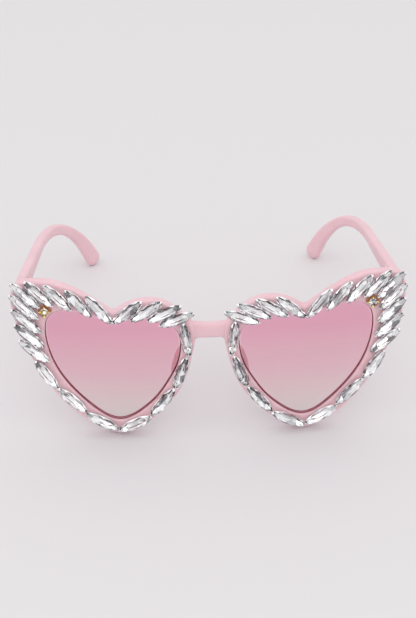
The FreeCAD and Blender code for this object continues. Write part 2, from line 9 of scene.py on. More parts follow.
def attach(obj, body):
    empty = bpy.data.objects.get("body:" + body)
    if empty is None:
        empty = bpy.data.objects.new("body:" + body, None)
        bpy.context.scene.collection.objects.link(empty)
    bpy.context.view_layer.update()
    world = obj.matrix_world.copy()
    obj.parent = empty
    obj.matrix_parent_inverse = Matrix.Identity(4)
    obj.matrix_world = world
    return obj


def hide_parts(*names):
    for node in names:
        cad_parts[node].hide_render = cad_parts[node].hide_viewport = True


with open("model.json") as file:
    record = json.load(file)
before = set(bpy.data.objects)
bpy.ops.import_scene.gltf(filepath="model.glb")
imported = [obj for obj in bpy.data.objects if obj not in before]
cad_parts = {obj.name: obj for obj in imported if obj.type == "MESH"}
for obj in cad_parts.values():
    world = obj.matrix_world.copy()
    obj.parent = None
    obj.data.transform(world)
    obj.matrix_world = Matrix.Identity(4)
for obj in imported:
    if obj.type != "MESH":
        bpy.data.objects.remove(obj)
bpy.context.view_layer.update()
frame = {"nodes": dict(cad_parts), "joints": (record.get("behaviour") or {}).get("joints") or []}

# Front
# One moulding in milky pink plastic: two heart rims, a bridge set back between them and a nose pad
# behind each rim. Tumbling has rounded its edges and given it a soft gloss. Two pockets in the back
# take the hinge leaves.
SIDES = (("right", 1), ("left", -1))

# Sizes in millimetres, as the glasses are worn, with the front upright
FRONT_RADIUS = 600.0
FRONT_THICKNESS = 4.5
LENS_WIDTH = 53.6
LENS_HEIGHT = 47.9
LENS_SPACING = 22.8
RIM_NOSE = 5.7
RIM_FOOT = 6.1
WING_REACH = 12.6
BROW_RISE = 12.6
LENS_INNER = LENS_SPACING / 2
HEART_INNER = LENS_INNER - RIM_NOSE
HEART_WIDTH = RIM_NOSE + LENS_WIDTH + WING_REACH
HEART_HEIGHT = RIM_FOOT + LENS_HEIGHT + BROW_RISE
RIM_STEPS = 10

# Stations round the rim, from the dip outwards: across and up the lens, across and up the heart
RIM_SHARES = np.array([
    (0.483, 0.896, 0.442, 0.806), (0.526, 0.906, 0.476, 0.823), (0.590, 0.935, 0.527, 0.860),
    (0.683, 0.977, 0.595, 0.908), (0.776, 1.000, 0.679, 0.958), (0.879, 1.000, 0.783, 0.994),
    (0.950, 0.967, 0.894, 0.997), (0.981, 0.925, 0.972, 0.976), (0.996, 0.871, 1.000, 0.916),
    (1.000, 0.770, 0.992, 0.751), (0.978, 0.624, 0.944, 0.590), (0.933, 0.484, 0.883, 0.440),
    (0.858, 0.342, 0.805, 0.294), (0.757, 0.207, 0.718, 0.180), (0.638, 0.084, 0.602, 0.075),
    (0.539, 0.015, 0.499, 0.018), (0.474, 0.000, 0.433, 0.000), (0.409, 0.015, 0.369, 0.020),
    (0.299, 0.090, 0.259, 0.089), (0.187, 0.209, 0.160, 0.189), (0.099, 0.353, 0.082, 0.308),
    (0.037, 0.482, 0.039, 0.426), (0.007, 0.599, 0.017, 0.523), (0.000, 0.708, 0.001, 0.616),
    (0.017, 0.795, 0.007, 0.700), (0.067, 0.858, 0.056, 0.770), (0.151, 0.914, 0.138, 0.845),
    (0.254, 0.942, 0.255, 0.878), (0.366, 0.925, 0.359, 0.853), (0.437, 0.904, 0.410, 0.823),
])
lens_corner = np.array([LENS_INNER, RIM_FOOT])
heart_corner = np.array([HEART_INNER, 0.0])
lens_stations = lens_corner + RIM_SHARES[:, :2] * (LENS_WIDTH, LENS_HEIGHT)
heart_stations = heart_corner + RIM_SHARES[:, 2:] * (HEART_WIDTH, HEART_HEIGHT)


def closed_line(points, steps):
    """A smooth closed curve through points, steps places to each span.

    Between neighbours it is a cubic in the share of the chord. The bends at the points come from
    the ring of equations that makes slopes and bends meet there.
    """
    after = np.roll(points, -1, axis=0)
    chord = np.linalg.norm(after - points, axis=1)
    before = np.roll(chord, 1)
    count = np.arange(len(points))
    system = np.zeros((len(points), len(points)))
    system[count, count] = 2 * (before + chord)
    system[count, (count + 1) % len(points)] = chord
    system[count, count - 1] = before
    slope = (after - points) / chord[:, None]
    bend = np.linalg.solve(system, 6 * (slope - np.roll(slope, 1, axis=0)))
    share = (np.arange(steps) / steps)[None, :, None]
    rest = 1 - share
    pull = (rest ** 3 - rest) * bend[:, None] + (share ** 3 - share) * np.roll(bend, -1, 0)[:, None]
    line = rest * points[:, None] + share * after[:, None] + pull * chord[:, None, None] ** 2 / 6
    return line.reshape(-1, points.shape[1])


lens_line = closed_line(lens_stations, RIM_STEPS)
heart_line = closed_line(heart_stations, RIM_STEPS)


def bent_back(x, depth):
    """Y of the bent front at x: a circle of the front's radius less the depth, about one centre."""
    return FRONT_RADIUS - np.sqrt((FRONT_RADIUS - depth) ** 2 - np.square(x))


# On the table the glasses lean back on the heart points and the temple tips. So every piece is
# turned as the axis of the right hinge is, and moved to its pivot.
MILLIMETRE = 0.001
TEMPLE_THICKNESS = 4.0
TEMPLE_SET_IN = 1.3
KNUCKLE_RADIUS = 1.3
KNUCKLE_CLEAR = 0.25
KNUCKLE_STANDOFF = 0.6
HINGE_DROP = 5.9
TEMPLE_INNER = HEART_INNER + HEART_WIDTH - TEMPLE_SET_IN - TEMPLE_THICKNESS
PIVOT = np.array([TEMPLE_INNER - KNUCKLE_RADIUS - KNUCKLE_CLEAR, 0.0, HEART_HEIGHT - HINGE_DROP])
PIVOT[1] = bent_back(PIVOT[0], FRONT_THICKNESS) + KNUCKLE_RADIUS + KNUCKLE_STANDOFF
right_fold = next(joint for joint in frame["joints"] if joint["name"] == "right_temple_fold")
_, lean_sine, lean_cosine = right_fold["axis"]
LEAN = np.array([[1, 0, 0], [0, lean_cosine, lean_sine], [0, -lean_sine, lean_cosine]])
STAND = np.array(right_fold["pos_m"]) - LEAN @ PIVOT * MILLIMETRE


def leaned(points):
    """Worn millimetres to the standing frame in metres: turned by the lean, then moved."""
    return points @ LEAN.T * MILLIMETRE + STAND


# Rounded edges of the rims
EDGE_FRONT = 1.4
EDGE_BACK = 1.2
EDGE_LENS = 0.45
EDGE_SUPPORT = 0.2
ARC_POINTS = 6


def rim_grid(side):
    """A rounded profile carried round the rim.

    At each place the profile spans the line from the lens edge to the outer edge. It is four arcs,
    at the front and back of both edges, with a close point on the flats beside each arc.
    """
    turn = np.linspace(0, np.pi / 2, ARC_POINTS)
    share, shift, depth = [], [], []
    for edge, radius, deep, way in (
        (0, EDGE_LENS, 0, 1), (1, EDGE_FRONT, 0, -1),
        (1, EDGE_BACK, FRONT_THICKNESS, 1), (0, EDGE_LENS, FRONT_THICKNESS, -1),
    ):
        inwards = 1 if edge == 0 else -1
        down = 1 if deep == 0 else -1
        along = inwards * np.append(radius * (1 - np.cos(turn)), radius + EDGE_SUPPORT)
        fall = deep + down * np.append(radius * (1 - np.sin(turn)), 0.0)
        share.append(np.full(along.shape, float(edge)))
        shift.append(along[::way])
        depth.append(fall[::way])
    share, shift, depth = (np.concatenate(part) for part in (share, shift, depth))
    across = heart_line - lens_line
    width = np.linalg.norm(across, axis=1, keepdims=True)
    reach = share * width + shift
    flat = lens_line[:, None] + across[:, None] / width[:, None] * reach[..., None]
    depth = np.broadcast_to(depth, reach.shape)
    worn = np.stack([side * flat[..., 0], bent_back(flat[..., 0], depth), flat[..., 1]], axis=-1)
    return leaned(worn)


# Bridge of the moulding
BRIDGE_HEIGHT = 6.2
BRIDGE_DIP = 0.9
BRIDGE_SETBACK = 0.8
BRIDGE_SEAT = 2.8
BRIDGE_CORNER = 1.8
BRIDGE_EDGE = 1.2
BRIDGE_SINK = 0.3
BRIDGE_UP_SHARE = 0.665
BRIDGE_ROWS = 61


def rounded_box(half_wide, half_tall, radius, points):
    """A ring round a rectangle with four equal corner arcs, from sizes that may be arrays."""
    turn = np.linspace(0, np.pi / 2, points)
    angle = (turn[None] + np.arange(4)[:, None] * np.pi / 2).ravel()
    quarter = np.repeat(np.arange(4), points)
    to_side = np.where((quarter == 0) | (quarter == 3), 1.0, -1.0)
    to_top = np.where(quarter < 2, 1.0, -1.0)
    wide = to_side * (half_wide - radius) + radius * np.cos(angle)
    tall = to_top * (half_tall - radius) + radius * np.sin(angle)
    return wide, tall


def bridge_grid():
    """A rounded bar across the nose.

    Its top sags to the middle by the square of the way out. Its underside flares at both ends by
    a quarter circle.
    """
    x = np.linspace(-1, 1, BRIDGE_ROWS)[:, None] * (HEART_INNER + BRIDGE_SEAT)
    middle = BRIDGE_UP_SHARE * HEART_HEIGHT
    top = middle + BRIDGE_HEIGHT / 2 + BRIDGE_DIP * (x / x.max()) ** 2
    bend = (np.abs(x) - (HEART_INNER + BRIDGE_SINK - BRIDGE_CORNER)) / BRIDGE_CORNER
    flare = BRIDGE_CORNER * (1 - np.sqrt(1 - np.clip(bend, 0, 1) ** 2))
    bottom = middle - BRIDGE_HEIGHT / 2 - flare
    half_thick = (FRONT_THICKNESS - BRIDGE_SETBACK) / 2
    deep, tall = rounded_box(half_thick, (top - bottom) / 2, BRIDGE_EDGE, ARC_POINTS)
    depth = (FRONT_THICKNESS + BRIDGE_SETBACK) / 2 + deep
    x = np.broadcast_to(x, tall.shape)
    worn = np.stack([x, bent_back(x, depth * np.ones_like(x)), (top + bottom) / 2 + tall], axis=-1)
    return leaned(worn)


# Nose pads of the moulding
NOSE_PAD_LENGTH = 18.0
NOSE_PAD_REACH = 8.0
NOSE_PAD_THICKNESS = 4.4
NOSE_PAD_ROOT = 1.2
NOSE_PAD_FLARE = 14.0
NOSE_PAD_SHARE = 0.66
NOSE_PAD_STATION = 21
NOSE_PAD_ROWS = 40
NOSE_PAD_POINTS = 48
NOSE_PAD_POLE = 0.02


def turned(points, axis, degrees):
    """Points turned about one of the axes by degrees, as a right-handed screw turns."""
    cosine, sine = math.cos(math.radians(degrees)), math.sin(math.radians(degrees))
    first, second = (axis + 1) % 3, (axis + 2) % 3
    out = points.copy()
    out[..., first] = cosine * points[..., first] - sine * points[..., second]
    out[..., second] = sine * points[..., first] + cosine * points[..., second]
    return out


def nose_pad_grid(side):
    """An ellipsoid, flared and sloped along the rim, whose front half is squashed into the rim."""
    polar = np.linspace(NOSE_PAD_POLE, np.pi - NOSE_PAD_POLE, NOSE_PAD_ROWS)[:, None]
    around = np.linspace(0, 2 * np.pi, NOSE_PAD_POINTS, endpoint=False)[None]
    unit = np.stack([
        np.sin(polar) * np.cos(around), np.sin(polar) * np.sin(around), np.cos(polar) + 0 * around,
    ], axis=-1)
    pad = unit * (NOSE_PAD_THICKNESS / 2, 1, NOSE_PAD_LENGTH / 2)
    pad[..., 1] *= np.where(pad[..., 1] < 0, NOSE_PAD_ROOT, NOSE_PAD_REACH)
    across = heart_stations - lens_stations
    beside = [NOSE_PAD_STATION - 1, NOSE_PAD_STATION + 1]
    below, above = lens_stations[beside] + across[beside] * NOSE_PAD_SHARE
    way = above - below
    pad = turned(turned(pad, 2, -NOSE_PAD_FLARE), 1, math.degrees(math.atan2(way[0], way[1])))
    seat = lens_stations[NOSE_PAD_STATION] + across[NOSE_PAD_STATION] * (1 - NOSE_PAD_SHARE)
    x = pad[..., 0] + seat[0]
    y = pad[..., 1] + bent_back(seat[0], FRONT_THICKNESS)
    return leaned(np.stack([side * x, y, pad[..., 2] + seat[1]], axis=-1))


# Pockets for the hinge leaves
KNUCKLE_LENGTH = 1.85
KNUCKLE_GAP = 0.06
HINGE_LENGTH = 3 * KNUCKLE_LENGTH + 2 * KNUCKLE_GAP
FRONT_LEAF_LENGTH = 6.0
LEAF_THICKNESS = 1.0
LEAF_PLAY = 0.03


def block_grid(low, high):
    """A box as two rings of four corners, from its lowest and highest corners."""
    x0, y0, z0 = low
    x1, y1, z1 = high
    ring = np.array([(x0, y0), (x1, y0), (x1, y1), (x0, y1)])
    return np.stack([np.column_stack([ring, np.full(4, z)]) for z in (z0, z1)])


def front_pocket_grid(side):
    """The box that the leaf on the front is sunk in, turned along the bent back of the front."""
    slope = math.degrees(math.asin(PIVOT[0] / (FRONT_RADIUS - FRONT_THICKNESS)))
    half = HINGE_LENGTH / 2 + LEAF_PLAY
    low = (-FRONT_LEAF_LENGTH - LEAF_PLAY, -LEAF_THICKNESS - LEAF_PLAY, -half)
    high = (KNUCKLE_RADIUS + LEAF_PLAY, FRONT_THICKNESS, half)
    seat = np.array([PIVOT[0], bent_back(PIVOT[0], FRONT_THICKNESS), PIVOT[2]])
    return leaned((turned(block_grid(low, high), 2, slope) + seat) * (side, 1, 1))


def linked(name, points, faces):
    """A new object in the scene, from a list of points and the faces between them."""
    mesh = bpy.data.meshes.new(name)
    mesh.from_pydata(points, [], faces)
    mesh.update()
    piece = bpy.data.objects.new(name, mesh)
    bpy.context.scene.collection.objects.link(piece)
    return piece


def skin(name, grid, ring=False):
    """A closed mesh over a grid of points whose columns close on themselves.

    Quads join each point to its neighbours in the row and in the next row. The rows close on
    themselves too where ring is set, and otherwise a cap closes each end. A mesh whose signed
    volume comes out negative is turned round, so its faces point outwards.
    """
    rows, columns = grid.shape[:2]
    places = np.arange(rows * columns).reshape(rows, columns)
    following = np.roll(places, -1, axis=0)
    if not ring:
        places, following = places[:-1], following[:-1]
    corners = [places, np.roll(places, -1, 1), np.roll(following, -1, 1), following]
    quads = np.stack(corners, axis=-1).reshape(-1, 4)
    points = grid.reshape(-1, 3)
    a, b, c, d = (points[quads[:, k]] - points.mean(0) for k in range(4))
    volume = np.sum(np.cross(a, b) * c) + np.sum(np.cross(a, c) * d)
    faces = quads.tolist()
    if not ring:
        faces.append(list(range(columns))[::-1])
        faces.append(list(range((rows - 1) * columns, rows * columns)))
    if volume < 0:
        faces = [face[::-1] for face in faces]
    return linked(name, points.tolist(), faces)


def joined(piece, added, pockets):
    """One skin: the union of a piece and the added shells, less the pockets, which all go."""
    work = [(shell, "UNION") for shell in added] + [(shell, "DIFFERENCE") for shell in pockets]
    for shell, operation in work:
        step = piece.modifiers.new(shell.name, "BOOLEAN")
        step.object = shell
        step.operation = operation
        step.solver = "EXACT"
    graph = bpy.context.evaluated_depsgraph_get()
    mesh = bpy.data.meshes.new_from_object(piece.evaluated_get(graph))
    piece.modifiers.clear()
    piece.data = mesh
    for shell, _ in work:
        bpy.data.objects.remove(shell)


CRISP_ANGLE = 40.0


def smoothed(piece):
    """Smooth shading, with edges sharper than the crisp angle kept."""
    piece.data.shade_smooth()
    piece.data.set_sharp_from_angle(angle=math.radians(CRISP_ANGLE))


def new_finish(name):
    """An empty material with a Principled shader, its nodes and a way to link them."""
    finish = bpy.data.materials.new(name)
    finish.use_nodes = True
    nodes = finish.node_tree.nodes
    return finish, nodes, finish.node_tree.links.new, nodes["Principled BSDF"]


def mottled(nodes, link, scale, detail=2.0):
    """Cloudy noise over the piece's own coordinates, as a value of about 0 to 1."""
    place = nodes.new("ShaderNodeTexCoord")
    noise = nodes.new("ShaderNodeTexNoise")
    noise.inputs["Scale"].default_value = scale
    noise.inputs["Detail"].default_value = detail
    link(place.outputs["Object"], noise.inputs["Vector"])
    return noise.outputs["Fac"]


def ranged(nodes, link, value, low, high):
    """A value of 0 to 1 moved evenly to run from low to high."""
    span = nodes.new("ShaderNodeMapRange")
    span.inputs["To Min"].default_value = low
    span.inputs["To Max"].default_value = high
    link(value, span.inputs["Value"])
    return span.outputs["Result"]


def graded(nodes, link, value, stops, stepped=False):
    """A value turned into a colour: blended between the stops, or held from each where stepped."""
    ramp = nodes.new("ShaderNodeValToRGB")
    band = ramp.color_ramp
    band.interpolation = "CONSTANT" if stepped else "LINEAR"
    for element, (place, colour) in zip(band.elements, (stops[0], stops[-1])):
        element.position = place
        element.color = colour
    for place, colour in stops[1:-1]:
        band.elements.new(place).color = colour
    link(value, ramp.inputs["Fac"])
    return ramp.outputs["Color"]


def bumped(nodes, link, height, strength, distance):
    """A normal tipped by the slope of a height."""
    bump = nodes.new("ShaderNodeBump")
    bump.inputs["Strength"].default_value = strength
    bump.inputs["Distance"].default_value = distance
    link(height, bump.inputs["Height"])
    return bump.outputs["Normal"]


def painted(piece, *finishes):
    """A piece given these finishes in place of its own."""
    piece.data.materials.clear()
    for finish in finishes:
        piece.data.materials.append(finish)


# Milky pink plastic, a little see through, with faint clouds and flow marks
pink, nodes, link, shader = new_finish("milky_pink_plastic")
clouds = mottled(nodes, link, 60.0, 3.0)
grain = mottled(nodes, link, 900.0)
tint = graded(nodes, link, clouds, ((0.3, (0.79, 0.53, 0.58, 1)), (0.7, (0.82, 0.57, 0.62, 1))))
link(tint, shader.inputs["Base Color"])
link(ranged(nodes, link, grain, 0.40, 0.50), shader.inputs["Roughness"])
link(bumped(nodes, link, grain, 0.04, 0.0002), shader.inputs["Normal"])
shader.inputs["IOR"].default_value = 1.49
shader.inputs["Specular IOR Level"].default_value = 0.35
shader.inputs["Subsurface Weight"].default_value = 0.4
shader.inputs["Subsurface Radius"].default_value = (1.0, 0.45, 0.5)
shader.inputs["Subsurface Scale"].default_value = 0.002

front = skin("front_moulding", rim_grid(1), ring=True)
shells = [skin("left_rim", rim_grid(-1), ring=True), skin("bridge", bridge_grid())]
shells += [skin(f"{name}_pad", nose_pad_grid(side)) for name, side in SIDES]
pockets = [skin(f"{name}_pocket", front_pocket_grid(side)) for name, side in SIDES]
joined(front, shells, pockets)
smoothed(front)
painted(front, pink)
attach(front, "front")
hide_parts("front_frame")

# Temples
# Each side arm is a flat bar, moulded in the same plastic as the front. It slims from the hinge,
# drops behind the ear and turns in to a rounded tip. A pocket in its inner face takes the hinge
# leaf.
TEMPLE_LENGTH = 139.5
TEMPLE_HEIGHTS = (7.6, 4.8, 7.4)
TEMPLE_EDGE = 1.4
TEMPLE_PITCH = 5.1
TEMPLE_DROP = 54.3
TEMPLE_TOE_IN = 1.5
TEMPLE_TURN = 40.0
WAIST_SHARE = 0.55
DROP_SHARES = (0.61, 0.99)
TURN_START_SHARE = 0.44
TIP_SWELL_SHARE = 0.77
TIP_ROUND = 3.6
TIP_END_SHARE = 0.02
BUTT_GAP = 0.2
TEMPLE_ROWS = 161
TIP_ROWS = 13
TEMPLE_LEAF_LENGTH = 9.0
TEMPLE_LEAF_HEIGHT = 3.6


def eased(share):
    """A smooth ramp from 0 to 1: three squares less two cubes of the held share."""
    held = np.clip(share, 0, 1)
    return held * held * (3 - 2 * held)


def temple_grid(side):
    """A rounded bar along a line that is summed from its heading.

    The heading drops and turns inwards by eased amounts of the way along. The height eases from
    root to waist to tip, and the last rows shrink as a circle does, to close the tip.
    """
    run = np.linspace(0, TEMPLE_LENGTH - TIP_ROUND, TEMPLE_ROWS)
    close = np.sin(np.linspace(0, np.pi / 2, TIP_ROWS))[1:]
    along = np.concatenate([run, TEMPLE_LENGTH - TIP_ROUND + TIP_ROUND * close])
    shrunk = np.sqrt(1 + TIP_END_SHARE ** 2 - close ** 2)
    scale = np.concatenate([np.ones(TEMPLE_ROWS), shrunk])[:, None]

    def heading(way):
        """Unit vectors ahead and outwards after a way along the temple."""
        share = way / TEMPLE_LENGTH
        drop = TEMPLE_DROP * eased((share - DROP_SHARES[0]) / (DROP_SHARES[1] - DROP_SHARES[0]))
        turn = TEMPLE_TURN * eased((share - TURN_START_SHARE) / (1 - TURN_START_SHARE))
        dip, yaw = np.radians(TEMPLE_PITCH + drop), np.radians(TEMPLE_TOE_IN + turn)
        level = np.cos(dip)
        ahead = np.stack([-np.sin(yaw) * level, np.cos(yaw) * level, -np.sin(dip)], axis=-1)
        return ahead, np.stack([np.cos(yaw), np.sin(yaw), 0 * yaw], axis=-1)

    ahead, outwards = heading(along)
    upwards = np.cross(outwards, ahead)
    step = np.diff(along)[:, None]
    travel = np.cumsum(heading(along[:-1] + step[:, 0] / 2)[0] * step, axis=0)
    root = np.array([
        TEMPLE_INNER + TEMPLE_THICKNESS / 2,
        bent_back(TEMPLE_INNER, FRONT_THICKNESS) - TEMPLE_EDGE,
        PIVOT[2],
    ])
    centre = root + np.vstack([np.zeros((1, 3)), travel])
    share = (along / TEMPLE_LENGTH)[:, None]
    first, waist, tip = TEMPLE_HEIGHTS
    height = first + (waist - first) * eased(share / WAIST_SHARE)
    height = height + (tip - waist) * eased((share - TIP_SWELL_SHARE) / (1 - TIP_SWELL_SHARE))
    wide, tall = rounded_box(
        TEMPLE_THICKNESS * scale / 2, height * scale / 2, TEMPLE_EDGE * scale, ARC_POINTS
    )
    sideways = outwards[:, None] * wide[..., None]
    worn = centre[:, None] + sideways + upwards[:, None] * tall[..., None]
    butt = bent_back(worn[..., 0], FRONT_THICKNESS + BUTT_GAP)
    worn[..., 1] = np.maximum(worn[..., 1], butt)
    return leaned(worn * (side, 1, 1))


def temple_pocket_grid(side):
    """The box that the leaf on the temple is sunk in."""
    half = TEMPLE_LEAF_HEIGHT / 2
    play = np.full(3, LEAF_PLAY)
    low = np.array([TEMPLE_INNER - LEAF_THICKNESS, PIVOT[1] - KNUCKLE_RADIUS, PIVOT[2] - half])
    high = np.array([TEMPLE_INNER + LEAF_THICKNESS, PIVOT[1] + TEMPLE_LEAF_LENGTH, PIVOT[2] + half])
    return leaned(block_grid(low - play, high + play) * (side, 1, 1))


for name, side in SIDES:
    temple = skin(f"{name}_temple_arm", temple_grid(side))
    joined(temple, [], [skin(f"{name}_slot", temple_pocket_grid(side))])
    smoothed(temple)
    painted(temple, pink)
    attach(temple, f"{name}_arm")
    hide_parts(f"{name}_temple")

# Lenses
# Each lens is a bent sheet of clear plastic, dyed pink at the top and fading to almost clear at
# the bottom. It is snapped into a groove in the rim. Its bevelled edge shows as a dark line,
# deepened by painted shade of the groove, with a pale painted highlight of the bevel inside it.
LENS_RECESS = 1.2
LENS_THICKNESS = 2.0
LENS_GROWTH = 0.65
LENS_RINGS = 18
LENS_HUB_SHARE = 0.002
LENS_OPEN_SHARE = 0.88
# Rings beside the edge, by their distance inside the opening: the painted highlight of the bevel,
# then the dark line of the edge and painted shade of the groove
EDGE_INSETS = np.array([0.76, 0.70, 0.46, 0.40, 0.2, 0.0, -0.3])
PAINTED_EDGE_TONES = np.array([0.0, 0.5, 0.5, 1.0, 1.0, 1.0, 1.0])

tinted, nodes, link, shader = new_finish("faded_pink_lens")
place = nodes.new("ShaderNodeTexCoord")
split = nodes.new("ShaderNodeSeparateXYZ")
drift = nodes.new("ShaderNodeMath")
drift.operation = "MULTIPLY_ADD"
drift.inputs[1].default_value = 0.0016
fade = nodes.new("ShaderNodeMapRange")
fade.inputs["From Min"].default_value = 0.008
fade.inputs["From Max"].default_value = 0.052
link(place.outputs["Object"], split.inputs["Vector"])
link(mottled(nodes, link, 45.0, 1.0), drift.inputs[0])
link(split.outputs["Z"], drift.inputs[2])
link(drift.outputs["Value"], fade.inputs["Value"])
dye = graded(nodes, link, fade.outputs["Result"], (
    (0.0, (1.0, 0.97, 0.94, 1)), (0.42, (0.96, 0.66, 0.73, 1)), (0.85, (0.91, 0.47, 0.605, 1)),
))
# The edge mark paints a dark red line of edge and groove shade, and a pale highlight of the bevel
edge = nodes.new("ShaderNodeAttribute")
edge.attribute_name = "painted_edge_shade_and_highlight"
painted_edge_colour = graded(nodes, link, edge.outputs["Fac"], (
    (0.6, (0.97, 0.84, 0.86, 1)), (0.8, (0.24, 0.025, 0.05, 1)),
))
shown = nodes.new("ShaderNodeMapRange")
shown.inputs["From Max"].default_value = 0.45
painted_edge_mix = nodes.new("ShaderNodeMix")
painted_edge_mix.data_type = "RGBA"
link(edge.outputs["Fac"], shown.inputs["Value"])
link(shown.outputs["Result"], painted_edge_mix.inputs["Factor"])
link(dye, painted_edge_mix.inputs["A"])
link(painted_edge_colour, painted_edge_mix.inputs["B"])
link(painted_edge_mix.outputs["Result"], shader.inputs["Base Color"])
shader.inputs["Roughness"].default_value = 0.02
shader.inputs["IOR"].default_value = 1.45
shader.inputs["Transmission Weight"].default_value = 1.0


def lens_grid(side):
    """A bent sheet with a rounded edge, as rings from the front's middle over the edge to the back.

    Inner rings are shares of the way from the hub to the opening, the last ones lie beside it.
    Returns the points and, for each, the tone of its painted edge shade and bevel highlight.
    """
    outwards = heart_line - lens_line
    outwards = outwards / np.linalg.norm(outwards, axis=1, keepdims=True)
    hub = np.array([lens_stations[0, 0], RIM_FOOT + LENS_HEIGHT / 2])
    share = np.linspace(LENS_HUB_SHARE, LENS_OPEN_SHARE, LENS_RINGS)[:, None, None]
    inset = np.append(EDGE_INSETS, -LENS_GROWTH)[:, None, None]
    face = np.concatenate([hub + (lens_line - hub) * share, lens_line - outwards * inset])
    tone = np.concatenate([np.zeros(LENS_RINGS), PAINTED_EDGE_TONES, [1.0]])
    flat = np.concatenate([face, face[::-1]])
    tone = np.repeat(np.concatenate([tone, tone[::-1]]), len(lens_line))
    depth = np.repeat([LENS_RECESS, LENS_RECESS + LENS_THICKNESS], len(face))[:, None]
    x = flat[..., 0]
    worn = np.stack([side * x, bent_back(x, depth + 0 * x), flat[..., 1]], axis=-1)
    return leaned(worn), tone


for name, side in SIDES:
    points, line = lens_grid(side)
    lens = skin(f"{name}_lens_sheet", points)
    # Each point's tone of painted edge shade and bevel highlight, read by the lens material
    painted_edge_mark = lens.data.attributes.new("painted_edge_shade_and_highlight", "FLOAT", "POINT")
    painted_edge_mark.data.foreach_set("value", line.astype(np.float32))
    smoothed(lens)
    painted(lens, tinted)
    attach(lens, "front")
    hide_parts(f"{name}_lens")

# Navette stones
# Long pointed acrylic crystals, cut like a brilliant and silvered on the back. They are glued one
# by one, so each sits at a slightly different tilt. Each facet is painted a random grey, from
# white to dark, as its glint or dark reflection of the room.
STONE_LENGTH = 15.3
STONE_WIDTH = 4.6
STONE_KEEL = 1.3
STONE_GIRDLE = 0.3
STONE_CROWN = 1.3
STONE_OUTLINE = (2.4, 0.62)
STONE_TILTS = np.array([3.0, 1.05])
STONE_SEED = 12
STONE_ROWS = (("nose", 4), ("cheek", 3), ("wing", 9), ("brow", 4))
# Rings of the cut, as shares of the length and the width
FACETS = 8
TABLE_SHARES = (0.66, 0.46)
STAR_SHARES = (0.86, 0.80)
STAR_RISE_SHARE = 0.55
DEEP_SHARES = (0.80, 0.66)
DEEP_RISE_SHARE = 0.45
CULET_SHARES = (0.50, 0.12)

crystal, nodes, link, shader = new_finish("clear_crystal")
# Each facet's grey is painted light: a white glint or a dark reflection, picked at random
glint = nodes.new("ShaderNodeAttribute")
glint.attribute_name = "painted_facet_light"
clear = graded(nodes, link, glint.outputs["Fac"], (
    (0.0, (0.45, 0.45, 0.46, 1)), (0.05, (0.82, 0.82, 0.83, 1)), (0.25, (0.98, 0.98, 0.99, 1)),
), stepped=True)
haze = mottled(nodes, link, 400.0)
link(clear, shader.inputs["Base Color"])
link(ranged(nodes, link, haze, 0.0, 0.05), shader.inputs["Roughness"])
shader.inputs["IOR"].default_value = 1.25
shader.inputs["Transmission Weight"].default_value = 1.0

foil, nodes, link, shader = new_finish("silver_foil")
# The foil is silver, and each facet's grey on it is painted light: a glint or a dark reflection
glint = nodes.new("ShaderNodeAttribute")
glint.attribute_name = "painted_facet_light"
silver_and_painted_light = graded(nodes, link, glint.outputs["Fac"], (
    (0.0, (0.26, 0.26, 0.27, 1)), (0.08, (0.68, 0.68, 0.69, 1)), (0.38, (0.97, 0.97, 0.98, 1)),
), stepped=True)
crinkle = mottled(nodes, link, 700.0)
link(silver_and_painted_light, shader.inputs["Base Color"])
link(ranged(nodes, link, crinkle, 0.04, 0.16), shader.inputs["Roughness"])
shader.inputs["Metallic"].default_value = 1.0


def cut_stone(length, width, keel, girdle, crown, outline):
    """A brilliant cut over an oval outline.

    The outline is x = cosine and y = (1 - cosine to a power) to another. Two rings of facets and
    a girdle ring of twice as many make the table, the stars and kites and the girdle's facets, and
    the keel repeats them. Returns points, faces, and for each face whether it is silvered: the
    keel, the girdle and the facets just above it are.
    """
    power, root = outline

    def ring(count, offset, shares, high):
        """Points evenly round the outline, shrunk by shares of its length and width."""
        angle = (np.arange(count) + offset) * 2 * np.pi / count
        lead = np.cos(angle)
        bulge = np.clip(1 - np.abs(lead) ** power, 0, 1) ** root
        bulge = bulge * np.sign(np.round(np.sin(angle), 6))
        long, wide = shares
        flat = [lead * long * length / 2, bulge * wide * width / 2]
        return np.column_stack(flat + [np.full(count, high)])

    brim = keel + girdle
    rings = [
        ring(FACETS, 0.5, TABLE_SHARES, brim + crown),
        ring(FACETS, 0.0, STAR_SHARES, brim + STAR_RISE_SHARE * crown),
        ring(2 * FACETS, 0.0, (1.0, 1.0), brim),
        ring(2 * FACETS, 0.0, (1.0, 1.0), keel),
        ring(FACETS, 0.0, DEEP_SHARES, DEEP_RISE_SHARE * keel),
        ring(FACETS, 0.5, CULET_SHARES, 0.0),
    ]
    sizes = [len(points) for points in rings]
    table, star, upper, lower, deep, culet = np.split(np.arange(sum(sizes)), np.cumsum(sizes)[:-1])
    first = np.arange(FACETS) * 2
    second = first + 1

    def fan(flat, middle, rim):
        """Stars, kites and girdle facets between a flat ring, a middle ring and a rim."""
        flat_after, middle_after = np.roll(flat, -1), np.roll(middle, -1)
        stars = np.column_stack([flat, middle_after, flat_after])
        kites = np.column_stack([flat, middle, rim[second], middle_after])
        right = np.column_stack([middle, rim[first], rim[second]])
        left = np.column_stack([middle, rim[first - 1], rim[first]])
        return stars.tolist() + kites.tolist() + right.tolist() + left.tolist()

    crown_faces = [table.tolist()] + fan(table, star, upper)
    band = np.column_stack([lower, np.roll(lower, -1), np.roll(upper, -1), upper]).tolist()
    keel_faces = [face[::-1] for face in [culet.tolist()] + fan(culet, deep, lower)]
    faces = crown_faces + band + keel_faces
    clear_count = len(crown_faces) - 2 * FACETS
    silvered = [0] * clear_count + [1] * (len(faces) - clear_count)
    return np.vstack(rings), faces, silvered


